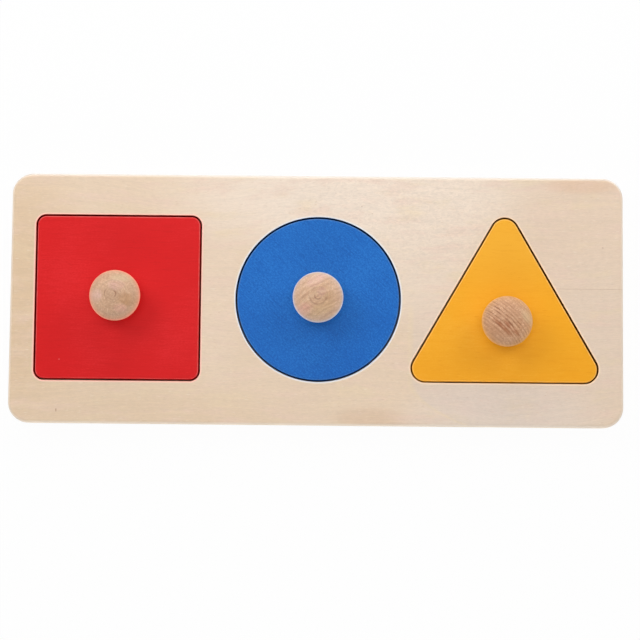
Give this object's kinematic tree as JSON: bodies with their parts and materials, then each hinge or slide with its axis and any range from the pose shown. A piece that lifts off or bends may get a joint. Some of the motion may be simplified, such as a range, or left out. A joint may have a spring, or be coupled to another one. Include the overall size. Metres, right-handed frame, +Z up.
{
  "type": "knobbed inset puzzle",
  "caption": "Rectangular plywood puzzle board with square, round and triangular recesses; each painted inlay lifts out by a turned wooden knob.",
  "frame": {"origin": "middle of the board's flat underside", "axes": "+Z up out of the recesses; +X along the board's length from the square recess to the triangular one; +Y across the board, the way the triangle points"},
  "size_m": [0.295, 0.1204, 0.0315],
  "materials": {
    "base_plywood": "fine-sanded birch-type plywood, uncoated",
    "face_plywood": "fine-sanded pale plywood with a thin clear satin coat",
    "red_paint": "red satin paint on plywood, grain faintly visible",
    "blue_paint": "blue satin paint on plywood, grain faintly visible",
    "yellow_paint": "warm yellow satin paint on plywood, grain faintly visible",
    "beech": "turned and sanded beech",
    "screw_steel": "zinc plated"
  },
  "bodies": {
    "board": {"base_panel": "base_plywood", "face_panel": "face_plywood"},
    "square_piece": {"square_inlay": "red_paint", "square_knob": "beech", "square_knob_screw": "screw_steel"},
    "disc_carrier": {"disc_knob_screw": "screw_steel"},
    "disc_piece": {"disc_inlay": "blue_paint", "disc_knob": "beech"},
    "triangle_piece": {"triangle_inlay": "yellow_paint", "triangle_knob": "beech", "triangle_knob_screw": "screw_steel"}
  },
  "joints": [
    {"name": "square_lift", "type": "slide", "parent": "board", "child": "square_piece", "axis": [0, 0, 1], "range_m": [0, 0.04]},
    {"name": "disc_lift", "type": "slide", "parent": "board", "child": "disc_carrier", "axis": [0, 0, 1], "range_m": [0, 0.04]},
    {"name": "disc_turn", "type": "hinge", "parent": "disc_carrier", "child": "disc_piece", "pos_m": [0.00085, 0.0003, 0.0033], "axis": [0, 0, 1], "continuous": true},
    {"name": "triangle_lift", "type": "slide", "parent": "board", "child": "triangle_piece", "axis": [0, 0, 1], "range_m": [0, 0.04]}
  ]
}
